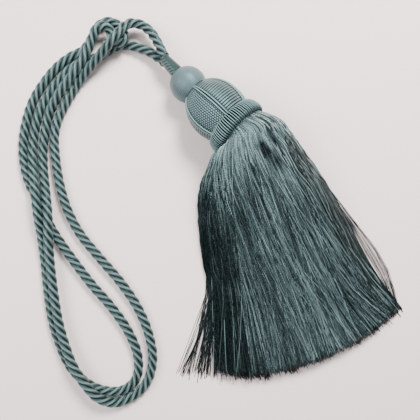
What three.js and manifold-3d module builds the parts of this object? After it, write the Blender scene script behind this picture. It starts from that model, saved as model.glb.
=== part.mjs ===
// Curtain tieback: a rayon tassel on a long loop of twisted cord, laid flat on a surface.
// The tassel has a whipped neck, two wound balls, a ruff of gimp loops and a fringe skirt.
// Units are millimetres, +Z is up and the surface is z = 0. The origin is the middle of the
// tassel's footprint. The loop is doubled back, and its far end is tucked round the neck cords.
import * as THREE from 'three';
import { mergeVertices } from 'three/addons/utils/BufferGeometryUtils.js';
import Module from 'manifold-3d';

const wasm = await Module();
wasm.setup();

// ---- Driving dimensions ------------------------------------------------------------------

const GAP = 0.3; // between neighbouring pieces

const CORD = {
  crown: 3.38, // radius to the back of a strand
  groove: 2.8, // radius to the bottom between two strands
  strands: 4,
  lay: 25, // length of one full turn of the left-handed twist
  stepsPerTurn: 6.5,
  lowest: 3.5, // height of the centreline where the cord lies on the surface
};

// The head's axis runs from the neck to the skirt. Stations along it are measured from a point
// level with the middle of the large ball.
const HEAD = {
  x: -47.4,
  y: 75.5,
  z: 19.0,
  heading: -43.4, // degrees from +X
  rise: 10.5, // degrees that the axis climbs towards the skirt
};

const NECK = {
  sides: 20,
  whipping: 6, // rounds of thread raised on the sleeve
  whippingRelief: 0.25,
  top: { along: -48.9, aside: 1.8, up: 1.3, halfWidth: 4.3, halfHeight: 7.7 },
  bottom: { along: -38.9, aside: 1.0, up: 0, halfWidth: 4.9, halfHeight: 5.6 },
};
const SMALL_BALL = { centre: -26.0, radius: 12.6, seam: -19.0, rings: 10, sides: 28 };
const LARGE_BALL = {
  centre: 2.7,
  radius: 19.9,
  halfLength: 23.5,
  bottom: 12.6,
  rounds: 12, // raised rounds of cord between the two ends
  roundRelief: 0.4,
  ribs: 6, // double ribs that run from end to end
  firstRib: 90, // degrees round the axis from its left side
  ribHalf: 4.5, // degrees from a rib's middle to each of its two cords
  ribRelief: 0.6,
};
const RUFF = {
  loops: 40,
  relief: 0.45,
  scallop: 0.7, // the loops' heads stand out past their hollows at both ends
};
const RUFF_PROFILE = [
  { along: 13.7, radius: 18.2 },
  { along: 14.8, radius: 20.0 },
  { along: 17.6, radius: 21.4 },
  { along: 21.4, radius: 21.9 },
  { along: 23.8, radius: 21.5 },
  { along: 25.2, radius: 19.9 },
];
const SKIRT = {
  // The locks' roots are gathered in a hub that starts as a disc under the ruff, widens to the
  // first station's oval and closes in two smaller ovals.
  hub: { start: 26.2, end: 28.0, radius: 19.2, sides: 24 },
  hubFront: [{ ahead: 0, share: 1 }, { ahead: 4.5, share: 0.8 }, { ahead: 8, share: 0.4 }],
  rootShare: 0.9, // of the first station's oval that the roots take up
  layers: 4,
  across: 30,
  fillWidth: 0.77, // share of the pitch across that a lock fills
  fillHeight: 0.84, // share of a layer's height that a lock fills
  edgeHeight: 0.45, // share of the fringe's height left at its two edges
  unevenAcross: 0.07, // of the pitch
  unevenHem: 1.3,
  shortBelow: 5, // the lowest layer ends this much before the top one
};
// The fringe at stations from the waist to the hem: its left and right edge, its height, and
// how far the middle of the station bows out past the straight line between its edges.
const SKIRT_STATIONS = [
  { leftX: -49.8, leftY: 34.6, rightX: 4.5, rightY: 60.8, high: 41, low: 1.2, bow: 0 },
  { leftX: -57.3, leftY: 23.1, rightX: 16.2, rightY: 47.1, high: 37.5, low: 0, bow: 2 },
  { leftX: -58.6, leftY: 1.1, rightX: 37.2, rightY: 15.6, high: 29, low: 0, bow: 4 },
  { leftX: -52.1, leftY: -44.9, rightX: 63.7, rightY: -33.9, high: 17, low: 0, bow: 9 },
  { leftX: -51.1, leftY: -113.7, rightX: 85.6, rightY: -64.9, high: 9.5, low: 0, bow: 14 },
];

// The cord's centreline from one end, in the top of the neck, to the other end beside it.
const CORD_ROUTE = [
  [-82.1, 112.2, 15.1], [-84.2, 116.1, 13.9], [-87.5, 123.1, 11.6], [-92.5, 131.1, 9.6], [-99.3, 136.4, 8.5],
  [-105.8, 136.8, 11], [-110.8, 132.8, 14.8], [-114.6, 127.1, 17.5], [-119.9, 121.1, 17.3], [-127.3, 113.8, 13],
  [-137.3, 104.6, 7.5], [-146.3, 94.4, 3.6], [-158.8, 71.6, 3.6], [-161.8, 58.6, 3.6], [-161.1, 44.6, 3.6],
  [-158.3, 26.1, 3.6], [-152.8, 7.1, 3.6], [-143.8, -10.4, 3.6], [-130.1, -27.4, 3.6], [-114.2, -45.9, 3.6],
  [-101.8, -64.5, 3.6], [-94.1, -83.7, 3.6], [-91.6, -100.9, 3.6], [-95.4, -115.9, 3.6], [-104.8, -125.9, 3.6],
  [-117.8, -130.6, 5.3], [-129.3, -125.9, 9.6], [-138.6, -115.3, 11], [-146.6, -103.4, 10.7], [-153, -88.1, 9.1],
  [-158, -69.9, 8.6], [-163.3, -31.9, 8.8], [-164.1, -14.9, 10.3], [-164.6, 3.4, 10.3], [-167.5, 20.3, 6.1],
  [-169.9, 38.9, 3.6], [-169.5, 54.6, 3.6], [-165.9, 72.8, 4], [-158.7, 85.9, 7.3], [-149.1, 98.7, 9.6],
  [-138.2, 114.2, 10.9], [-133.2, 125.7, 11.6], [-129.6, 132.7, 12.2], [-123.8, 134.9, 10.6], [-121.2, 132.2, 9.2],
  [-119.4, 125.4, 10.4], [-115.9, 123.2, 11.1], [-112.5, 124.2, 11], [-110.8, 127.9, 9.4], [-114.4, 135.3, 4.6],
  [-118.4, 138.9, 4.5], [-125.1, 139.8, 4.5], [-131.8, 135.4, 3.8], [-135.3, 128.1, 3.6], [-141, 120.1, 3.6],
  [-150.5, 115.1, 3.6], [-160.1, 107.6, 3.6], [-168.8, 97.1, 3.6], [-176.8, 84.1, 3.6], [-181.8, 69.1, 3.6],
  [-184, 54.6, 3.6], [-183.6, 41.6, 3.6], [-179.9, 25.6, 3.6], [-171.2, 8.7, 3.6], [-163.1, -8.4, 3.6],
  [-136.3, -45.7, 3.6], [-121.4, -62.8, 3.6], [-108.9, -80.9, 3.6], [-102.1, -98.9, 3.6], [-103.5, -114.2, 3.6],
  [-113.2, -122.5, 3.6], [-126.3, -122.7, 3.6], [-139.2, -116.9, 3.6], [-149.9, -106.2, 3.6], [-157.8, -89.9, 3.6],
  [-163.7, -69.4, 3.6], [-168.6, -29.5, 3.6], [-170.3, -11.1, 6.2], [-171.5, 3.1, 10.4], [-173.5, 20.1, 10.4],
  [-176.4, 37.6, 6.1], [-176.9, 54.5, 3.7], [-174, 71.1, 3.6], [-167.3, 86.1, 3.6], [-158.3, 98.5, 3.6],
  [-148.3, 108.1, 3.6], [-136.2, 112.8, 3.6], [-126.2, 117.6, 3.6], [-118.4, 122.7, 3.6], [-109.8, 123.7, 3.6],
  [-100.4, 121.1, 4.4], [-91.8, 117, 6], [-82.3, 109.6, 8.4],
];

// ---- Materials ---------------------------------------------------------------------------

const fabric = (colour, roughness) =>
  new THREE.MeshStandardMaterial({ color: colour, roughness, metalness: 0 });
const CORD_TEAL = fabric(0x5e8684, 0.42);
const NECK_SAGE = fabric(0x6f938c, 0.5);
const BALL_BLUE = fabric(0x86a3a3, 0.5);
const BALL_SAGE = fabric(0x7f9c92, 0.5);
const RUFF_SAGE = fabric(0x8aa79b, 0.5);
const FRINGE_TEAL = fabric(0x4f7a78, 0.45);

// ---- Helpers -----------------------------------------------------------------------------

const radians = (degrees) => (degrees * Math.PI) / 180;

// A repeatable value from -1 to 1 for each pair of whole numbers.
const uneven = (i, j) => {
  const wave = Math.sin(i * 12.9898 + j * 78.233) * 43758.5453;
  return 2 * (wave - Math.floor(wave)) - 1;
};

const FORWARD = new THREE.Vector3(
  Math.cos(radians(HEAD.heading)) * Math.cos(radians(HEAD.rise)),
  Math.sin(radians(HEAD.heading)) * Math.cos(radians(HEAD.rise)),
  Math.sin(radians(HEAD.rise)),
);
const SIDE = new THREE.Vector3(
  -Math.sin(radians(HEAD.heading)),
  Math.cos(radians(HEAD.heading)),
  0,
);
const UP = new THREE.Vector3().crossVectors(FORWARD, SIDE);

// A point of the head: along its axis, to its left side, and up from the axis.
const headPoint = (along, aside, up) =>
  new THREE.Vector3(HEAD.x, HEAD.y, HEAD.z)
    .addScaledVector(FORWARD, along)
    .addScaledVector(SIDE, aside)
    .addScaledVector(UP, up);

// A closed skin over rings of points. Each ring runs from side to up, about the way forward.
function loft(rings) {
  const sides = rings[0].length;
  const points = rings.flat();
  const faces = [];
  for (let i = 0; i + 1 < rings.length; i += 1) {
    for (let j = 0; j < sides; j += 1) {
      const a = i * sides + j;
      const b = i * sides + ((j + 1) % sides);
      faces.push(a, b, b + sides, a, b + sides, a + sides);
    }
  }
  const lastRing = (rings.length - 1) * sides;
  for (let j = 1; j + 1 < sides; j += 1) {
    faces.push(0, j + 1, j);
    faces.push(lastRing, lastRing + j, lastRing + j + 1);
  }
  const geometry = new THREE.BufferGeometry();
  geometry.setAttribute(
    'position',
    new THREE.Float32BufferAttribute(points.flatMap((p) => [p.x, p.y, p.z]), 3),
  );
  geometry.setIndex(faces);
  return geometry;
}

// A ring round the head's axis. radiusAt and alongAt take an angle in degrees from the left
// side of the axis over its top.
function headRing(angles, radiusAt, alongAt) {
  return angles.map((angle) => {
    const radius = radiusAt(angle);
    const turn = radians(angle);
    return headPoint(alongAt(angle), radius * Math.cos(turn), radius * Math.sin(turn));
  });
}

const evenAngles = (count) => Array.from({ length: count }, (_, j) => (360 * j) / count);

function toManifold(geometry) {
  const bare = geometry.clone();
  bare.deleteAttribute('normal');
  bare.deleteAttribute('uv');
  const merged = mergeVertices(bare, 1e-4);
  return new wasm.Manifold(new wasm.Mesh({
    numProp: 3,
    vertProperties: new Float32Array(merged.attributes.position.array),
    triVerts: new Uint32Array(merged.index.array),
  }));
}

function fromManifold(solid) {
  const mesh = solid.getMesh();
  const geometry = new THREE.BufferGeometry();
  geometry.setAttribute('position', new THREE.BufferAttribute(mesh.vertProperties, 3));
  geometry.setIndex(new THREE.BufferAttribute(mesh.triVerts, 1));
  return geometry;
}

// The small flat spot that a round piece rests on: what is under the surface is cut away.
function flatSpot(geometry) {
  const under = new THREE.BoxGeometry(400, 400, 40);
  under.translate(0, 0, -20);
  return fromManifold(toManifold(geometry).subtract(toManifold(under)));
}

function piece(name, geometry, material) {
  const mesh = new THREE.Mesh(geometry, material);
  mesh.name = name;
  return mesh;
}

// ---- Pieces ------------------------------------------------------------------------------

// The cord: a four-strand section carried along the route with its left-handed twist.
function cordGeometry() {
  const route = CORD_ROUTE.map(([x, y, z]) => new THREE.Vector3(x, y, z));
  const curve = new THREE.CatmullRomCurve3(route, false, 'centripetal');
  curve.arcLengthDivisions = 4000;
  const length = curve.getLength();
  const steps = Math.round((length / CORD.lay) * CORD.stepsPerTurn);
  const centres = curve.getSpacedPoints(steps);
  centres.forEach((p) => { p.z = Math.max(p.z, CORD.lowest); });
  const angles = evenAngles(2 * CORD.strands);
  let side = new THREE.Vector3(0, 0, 1);
  const rings = centres.map((centre, i) => {
    const before = centres[Math.max(i - 1, 0)];
    const after = centres[Math.min(i + 1, steps)];
    const forward = after.clone().sub(before).normalize();
    side = side.addScaledVector(forward, -side.dot(forward)).normalize();
    const up = new THREE.Vector3().crossVectors(forward, side);
    const twist = (-360 * i) / CORD.stepsPerTurn;
    return angles.map((angle, j) => {
      const radius = j % 2 === 0 ? CORD.crown : CORD.groove;
      const turn = radians(angle + twist);
      return centre.clone()
        .addScaledVector(side, radius * Math.cos(turn))
        .addScaledVector(up, radius * Math.sin(turn));
    });
  });
  return loft(rings);
}

// The whipped sleeve that holds both ends of the cord, one over the other.
function neckGeometry() {
  const { top, bottom } = NECK;
  const count = 2 * NECK.whipping;
  const angles = evenAngles(NECK.sides);
  const rings = Array.from({ length: count + 1 }, (_, i) => {
    const share = i / count;
    const relief = i % 2 === 0 ? 0 : NECK.whippingRelief;
    const mix = (key) => THREE.MathUtils.lerp(top[key], bottom[key], share);
    return angles.map((angle) => headPoint(
      mix('along'),
      mix('aside') + (mix('halfWidth') + relief) * Math.cos(radians(angle)),
      mix('up') + (mix('halfHeight') + relief) * Math.sin(radians(angle)),
    ));
  });
  return loft(rings);
}

// The small ball, cut off square where it sits on the large one.
function smallBallGeometry() {
  const { centre, radius, seam, rings, sides } = SMALL_BALL;
  const start = radians(8); // leaves a small flat under the neck
  const end = Math.acos((centre - seam) / radius);
  const angles = evenAngles(sides);
  return loft(Array.from({ length: rings + 1 }, (_, i) => {
    const polar = THREE.MathUtils.lerp(start, end, i / rings);
    const along = centre - radius * Math.cos(polar);
    return headRing(angles, () => radius * Math.sin(polar), () => along);
  }));
}

// The large ball: raised rounds of cord, crossed by double ribs from end to end.
function largeBallGeometry() {
  const { centre, radius, halfLength, bottom, rounds, ribs } = LARGE_BALL;
  const ribPitch = 360 / ribs;
  const half = LARGE_BALL.ribHalf;
  const offsets = [
    { angle: -2 * half, lift: 0 },
    { angle: -half, lift: LARGE_BALL.ribRelief },
    { angle: 0, lift: LARGE_BALL.ribRelief * 0.3 },
    { angle: half, lift: LARGE_BALL.ribRelief },
    { angle: 2 * half, lift: 0 },
    { angle: ribPitch / 3, lift: 0 },
    { angle: ribPitch / 2, lift: 0 },
    { angle: ribPitch * (2 / 3), lift: 0 },
  ];
  const spokes = Array.from({ length: ribs }, (_, k) => offsets.map(({ angle, lift }) => ({
    angle: LARGE_BALL.firstRib + k * ribPitch + angle,
    lift,
  }))).flat();
  const top = SMALL_BALL.seam + GAP;
  const start = Math.asin((top - centre) / halfLength);
  const end = Math.asin((bottom - centre) / halfLength);
  const count = 2 * rounds;
  return loft(Array.from({ length: count + 1 }, (_, i) => {
    const latitude = THREE.MathUtils.lerp(start, end, i / count);
    const roundLift = i % 2 === 0 ? 0 : LARGE_BALL.roundRelief;
    const along = centre + halfLength * Math.sin(latitude);
    return spokes.map(({ angle, lift }) => {
      const reach = radius * Math.cos(latitude) + Math.max(roundLift, lift);
      const turn = radians(angle);
      return headPoint(along, reach * Math.cos(turn), reach * Math.sin(turn));
    });
  }));
}

// The ruff: loops of gimp side by side round the waist, each a raised leg beside a hollow.
function ruffGeometry() {
  const angles = evenAngles(2 * RUFF.loops);
  const isLeg = (angle) => Math.round((angle / 360) * 2 * RUFF.loops) % 2 === 0;
  const last = RUFF_PROFILE.length - 1;
  return loft(RUFF_PROFILE.map(({ along, radius }, i) => {
    const reachOut = { 0: -RUFF.scallop, [last]: RUFF.scallop }[i] ?? 0;
    return headRing(
      angles,
      (angle) => radius + (isLeg(angle) ? RUFF.relief : -RUFF.relief),
      (angle) => along + (isLeg(angle) ? reachOut : 0),
    );
  }));
}

// The straight line across the fringe at a station, and its way out towards the hem.
function stationLine({ leftX, leftY, rightX, rightY }) {
  const left = new THREE.Vector3(leftX, leftY, 0);
  const right = new THREE.Vector3(rightX, rightY, 0);
  const line = right.clone().sub(left);
  const outward = new THREE.Vector3(line.y, -line.x, 0).normalize();
  return { left, right, line, outward };
}

// Where a lock's foot runs, and how thick it is there, at its root and at each later station.
// layer counts up from the lowest, and share runs from the left edge (0) to the right (1).
function lockPath(layer, share, shorter) {
  const { layers, rootShare, edgeHeight } = SKIRT;
  const spread = 2 * share - 1;
  return SKIRT_STATIONS.map((row, i) => {
    const { left, right, outward } = stationLine(row);
    const height = row.high - row.low;
    if (i === 0) {
      const oval = rootShare * height * Math.sqrt(1 - (rootShare * spread) ** 2);
      const foot = left.lerp(right, 0.5 + (rootShare * spread) / 2);
      foot.z = row.low + height / 2 + oval * (layer / layers - 0.5);
      return { foot, thickness: oval / layers };
    }
    const thickness = (height * (1 - (1 - edgeHeight) * spread ** 2)) / layers;
    const back = i === SKIRT_STATIONS.length - 1 ? shorter : 0;
    const foot = left.lerp(right, share)
      .addScaledVector(outward, row.bow * (1 - spread ** 2) - back);
    foot.z = row.low + layer * thickness;
    return { foot, thickness };
  });
}

// One lock of the fringe, from its root in the hub to the hem. Its section has two corners on
// its layer's floor and one on its back, and fills its share of the way to its neighbours.
function lockGeometry(layer, column) {
  const { across, layers, fillWidth, fillHeight } = SKIRT;
  const even = (column + 0.5) / across;
  const share = even + (SKIRT.unevenAcross * uneven(column, layer)) / across;
  const below = 1 - layer / (layers - 1);
  const shorter = SKIRT.shortBelow * below + SKIRT.unevenHem * (1 + uneven(layer, column));
  const path = lockPath(layer, share, shorter);
  const leftSide = lockPath(layer, even - 0.5 / across, shorter);
  const rightSide = lockPath(layer, even + 0.5 / across, shorter);
  const up = new THREE.Vector3(0, 0, 1);
  return loft(path.map(({ foot, thickness }, i) => {
    const before = path[Math.max(i - 1, 0)].foot;
    const after = path[Math.min(i + 1, path.length - 1)].foot;
    const flow = after.clone().sub(before).setZ(0).normalize();
    const aside = new THREE.Vector3().crossVectors(up, flow);
    const room = rightSide[i].foot.clone().sub(leftSide[i].foot).dot(aside);
    const halfWidth = (room * fillWidth) / 2;
    return [
      foot.clone().addScaledVector(aside, halfWidth),
      foot.clone().addScaledVector(up, thickness * fillHeight),
      foot.clone().addScaledVector(aside, -halfWidth),
    ];
  }));
}

// The hub: a disc under the ruff, widening to the first station's oval and closing in front.
function hubGeometry() {
  const { start, end, radius, sides } = SKIRT.hub;
  const angles = evenAngles(sides);
  const discs = [start, end].map((along) => headRing(angles, () => radius, () => along));
  const first = SKIRT_STATIONS[0];
  const { left, right, line, outward } = stationLine(first);
  const middle = left.clone().lerp(right, 0.5).setZ((first.low + first.high) / 2);
  const halfHeight = (first.high - first.low) / 2;
  const ovals = SKIRT.hubFront.map(({ ahead, share }) => angles.map((angle) => middle.clone()
    .addScaledVector(outward, ahead)
    .addScaledVector(line, (share * Math.cos(radians(angle))) / 2)
    .add(new THREE.Vector3(0, 0, share * halfHeight * Math.sin(radians(angle))))));
  return loft([...discs, ...ovals]);
}

// The skirt: every lock joined to the hub.
function skirtGeometry() {
  let solid = toManifold(hubGeometry());
  for (let layer = 0; layer < SKIRT.layers; layer += 1) {
    for (let column = 0; column < SKIRT.across; column += 1) {
      solid = solid.add(toManifold(lockGeometry(layer, column)));
    }
  }
  return fromManifold(solid);
}

// ---- Assembly ----------------------------------------------------------------------------

const tieback = new THREE.Group();
tieback.name = 'curtain_tieback_tassel';
tieback.add(
  piece('cord', cordGeometry(), CORD_TEAL),
  piece('neck_whipping', neckGeometry(), NECK_SAGE),
  piece('small_ball', smallBallGeometry(), BALL_BLUE),
  piece('large_ball', flatSpot(largeBallGeometry()), BALL_SAGE),
  piece('ruff', ruffGeometry(), RUFF_SAGE),
  piece('fringe_skirt', skirtGeometry(), FRINGE_TEAL),
);

export default tieback;
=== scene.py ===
"""Curtain tieback tassel: the looks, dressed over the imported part.

A rayon fringe skirt hangs from a ruff of gimp loops, a large wound ball, a small wound ball and
a whipped neck. One long four-strand cord leaves the neck, makes a doubled loop and comes back
into it. Lengths in the classes are millimetres in the part's frame; meshes are in metres.
"""
import sys

import logging
import math
from dataclasses import dataclass
from enum import Enum

import bpy
import numpy as np
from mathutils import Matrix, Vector


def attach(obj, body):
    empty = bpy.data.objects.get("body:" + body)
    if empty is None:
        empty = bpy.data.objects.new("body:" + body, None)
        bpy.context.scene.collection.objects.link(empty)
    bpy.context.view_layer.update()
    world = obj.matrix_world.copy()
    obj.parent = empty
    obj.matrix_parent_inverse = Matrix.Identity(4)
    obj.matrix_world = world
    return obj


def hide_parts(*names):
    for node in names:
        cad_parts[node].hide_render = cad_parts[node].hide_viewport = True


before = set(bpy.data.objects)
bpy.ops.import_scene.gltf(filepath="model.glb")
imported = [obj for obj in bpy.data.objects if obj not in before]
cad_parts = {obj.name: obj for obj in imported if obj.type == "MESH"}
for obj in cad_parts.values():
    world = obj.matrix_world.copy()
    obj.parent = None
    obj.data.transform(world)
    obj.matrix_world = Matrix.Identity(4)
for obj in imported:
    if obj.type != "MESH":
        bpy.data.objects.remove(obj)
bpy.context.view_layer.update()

logging.basicConfig(level=logging.INFO, format="%(name)s: %(message)s", stream=sys.stdout)
LOG = logging.getLogger("tieback")

MM = 0.001
BODY = "root"
Rgb = tuple[float, float, float]
Point = tuple[float, float, float]
Pair = tuple[float, float]


# ---- Numbers in the plane and along curves ------------------------------------------------


def unit(vectors: np.ndarray) -> np.ndarray:
    """Scales vectors to length one: each is divided by the root of its summed squares.

    Args:
        vectors: An array whose last axis holds x, y and z.

    Returns:
        The array of the same shape with unit vectors.
    """
    length = np.linalg.norm(vectors, axis=-1, keepdims=True)
    return vectors / np.maximum(length, 1e-12)


def smoothstep(low: float, high: float, value: np.ndarray) -> np.ndarray:
    """Rises from 0 at low to 1 at high along 3t squared minus 2t cubed.

    Args:
        low: Where the rise starts.
        high: Where it ends.
        value: The values to look up.

    Returns:
        The height of the step at each value.
    """
    t = np.clip((value - low) / (high - low), 0.0, 1.0)
    return t * t * (3.0 - 2.0 * t)


def catmull_rom(stations: np.ndarray, where: np.ndarray) -> np.ndarray:
    """Carries a smooth curve through stations, with a tangent at each that is half the way
    from the station before to the one after.

    Args:
        stations: Shape (stations, ...): the values to pass through.
        where: Shape (points,): positions from 0 at the first station to count - 1.

    Returns:
        Shape (points, ...): the curve's values.
    """
    padded = np.concatenate(
        [2 * stations[:1] - stations[1:2], stations, 2 * stations[-1:] - stations[-2:-1]]
    )
    index = np.clip(where.astype(int), 0, len(stations) - 2)
    t = (where - index).reshape((-1,) + (1,) * (stations.ndim - 1))
    p0, p1, p2, p3 = (padded[index + k] for k in range(4))
    return 0.5 * (
        2 * p1
        + (p2 - p0) * t
        + (2 * p0 - 5 * p1 + 4 * p2 - p3) * t**2
        + (3 * p1 - p0 - 3 * p2 + p3) * t**3
    )


def centripetal(points: np.ndarray, samples: int) -> np.ndarray:
    """Draws a curve through points, its knots the square roots of their gaps, by nested
    straight mixes, with each end's gap mirrored past it.

    Args:
        points: Shape (points, 3).
        samples: How many points to return along the curve.

    Returns:
        Shape (samples, 3).
    """
    padded = np.vstack([2 * points[0] - points[1], points, 2 * points[-1] - points[-2]])
    knots = np.concatenate(
        [[0.0], np.cumsum(np.sqrt(np.linalg.norm(np.diff(padded, axis=0), axis=1)))]
    )
    where = np.linspace(0, len(points) - 1, samples)
    index = np.minimum(where.astype(int), len(points) - 2)
    t0, t1, t2, t3 = (knots[index + k][:, None] for k in range(4))
    p0, p1, p2, p3 = (padded[index + k] for k in range(4))
    t = t1 + (where - index)[:, None] * (t2 - t1)

    def mix(a: np.ndarray, b: np.ndarray, start: np.ndarray, end: np.ndarray) -> np.ndarray:
        """Mixes a at start with b at end, by how far t has gone from one to the other."""
        return ((end - t) * a + (t - start) * b) / (end - start)

    a1, a2, a3 = mix(p0, p1, t0, t1), mix(p1, p2, t1, t2), mix(p2, p3, t2, t3)
    return mix(mix(a1, a2, t0, t2), mix(a2, a3, t1, t3), t1, t2)


def evenly(line: np.ndarray, step: float) -> np.ndarray:
    """Places points at even steps of arc length along a line.

    Args:
        line: Shape (points, 3).
        step: The wanted distance between points.

    Returns:
        Shape (steps + 1, 3).
    """
    run = np.concatenate([[0.0], np.cumsum(np.linalg.norm(np.diff(line, axis=0), axis=1))])
    marks = np.linspace(0, run[-1], int(round(run[-1] / step)) + 1)
    return np.stack([np.interp(marks, run, line[:, axis]) for axis in range(3)], axis=1)


# ---- Meshes -------------------------------------------------------------------------------


def make_piece(
    name: str,
    points: np.ndarray,
    quads: np.ndarray,
    triangles: np.ndarray,
    values: dict[str, np.ndarray],
) -> bpy.types.Object:
    """Makes one smooth mesh object at the origin, in metres.

    Args:
        name: The piece's name.
        points: Shape (points, 3), in millimetres.
        quads: Shape (quads, 4) of point numbers, seen counterclockwise from outside.
        triangles: Shape (triangles, 3) of point numbers.
        values: A number for each point under each attribute's name.

    Returns:
        The linked object.
    """
    mesh = bpy.data.meshes.new(name)
    corners = np.concatenate([quads.ravel(), triangles.ravel()]).astype(np.int32)
    sizes = np.concatenate([np.full(len(quads), 4), np.full(len(triangles), 3)])
    starts = np.concatenate([[0], np.cumsum(sizes)[:-1]]).astype(np.int32)
    mesh.vertices.add(len(points))
    mesh.vertices.foreach_set("co", (points * MM).astype(np.float32).ravel())
    mesh.loops.add(len(corners))
    mesh.loops.foreach_set("vertex_index", corners)
    mesh.polygons.add(len(sizes))
    mesh.polygons.foreach_set("loop_start", starts)
    mesh.polygons.foreach_set("use_smooth", np.ones(len(sizes), dtype=bool))
    for key, numbers in values.items():
        attribute = mesh.attributes.new(key, "FLOAT", "POINT")
        attribute.data.foreach_set("value", np.ravel(numbers).astype(np.float32))
    mesh.update(calc_edges=True)
    mesh.validate()
    piece = bpy.data.objects.new(name, mesh)
    bpy.context.scene.collection.objects.link(piece)
    return piece


def tubes(
    name: str, rings: np.ndarray, values: dict[str, np.ndarray]
) -> bpy.types.Object:
    """Skins many tubes at once. Ring point j of ring i is joined to its neighbours, and each
    end is closed by a fan round the mean of its ring.

    Args:
        name: The piece's name.
        rings: Shape (tubes, rings, sides, 3), each ring running from side to up about the
            way forward.
        values: Shape (tubes, rings, sides) numbers under each attribute's name.

    Returns:
        The linked object, with every tube closed.
    """
    count, length, sides, _ = rings.shape
    ends = rings[:, [0, -1]].mean(axis=2)
    points = np.concatenate([rings.reshape(-1, 3), ends.reshape(-1, 3)])
    numbers = np.arange(count * length * sides).reshape(count, length, sides)
    a = numbers[:, :-1]
    b = np.roll(numbers, -1, axis=2)[:, :-1]
    c = np.roll(numbers, -1, axis=2)[:, 1:]
    d = numbers[:, 1:]
    quads = np.stack([a, b, c, d], axis=-1).reshape(-1, 4)
    hubs = numbers.size + np.arange(count * 2).reshape(count, 2)
    first, last = numbers[:, 0], numbers[:, -1]
    start_hub = np.broadcast_to(hubs[:, :1], first.shape)
    end_hub = np.broadcast_to(hubs[:, 1:], last.shape)
    fans = [
        np.stack([start_hub, np.roll(first, -1, axis=1), first], axis=-1),
        np.stack([end_hub, last, np.roll(last, -1, axis=1)], axis=-1),
    ]
    triangles = np.concatenate([fan.reshape(-1, 3) for fan in fans])
    full = {
        key: np.concatenate([grid.reshape(-1), grid[:, [0, -1]].mean(axis=2).reshape(-1)])
        for key, grid in values.items()
    }
    return make_piece(name, points, quads, triangles, full)


def tube_rings(
    lines: np.ndarray, radii: np.ndarray, sides: int, outward: np.ndarray, turn: float = 0.0
) -> np.ndarray:
    """Puts a round ring about each point of each line. The ring's side is the outward vector
    crossed with the line's direction, and it runs from that side towards outward.

    Args:
        lines: Shape (tubes, points, 3).
        radii: A shape that broadcasts to (tubes, points).
        sides: Points in each ring.
        outward: A vector, or one for each point of each line, never along the line.
        turn: The angle of the ring's first point, in radians.

    Returns:
        Shape (tubes, points, sides, 3).
    """
    forward = unit(np.gradient(lines, axis=1))
    side = unit(np.cross(np.broadcast_to(outward, lines.shape), forward))
    up = np.cross(forward, side)
    angle = turn + np.linspace(0, 2 * math.pi, sides, endpoint=False)
    reach = np.broadcast_to(radii, lines.shape[:2])[..., None, None]
    return lines[:, :, None, :] + reach * (
        np.cos(angle)[:, None] * side[:, :, None, :] + np.sin(angle)[:, None] * up[:, :, None, :]
    )


# ---- Finishes -----------------------------------------------------------------------------


class Slot(Enum):
    """The record's material slots."""

    CORD = "cord_teal"
    WHIPPING = "whipping_sage"
    SMALL_BALL = "ball_blue_grey"
    LARGE_BALL = "ball_sage"
    RUFF = "ruff_sage"
    FRINGE = "fringe_teal"


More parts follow.
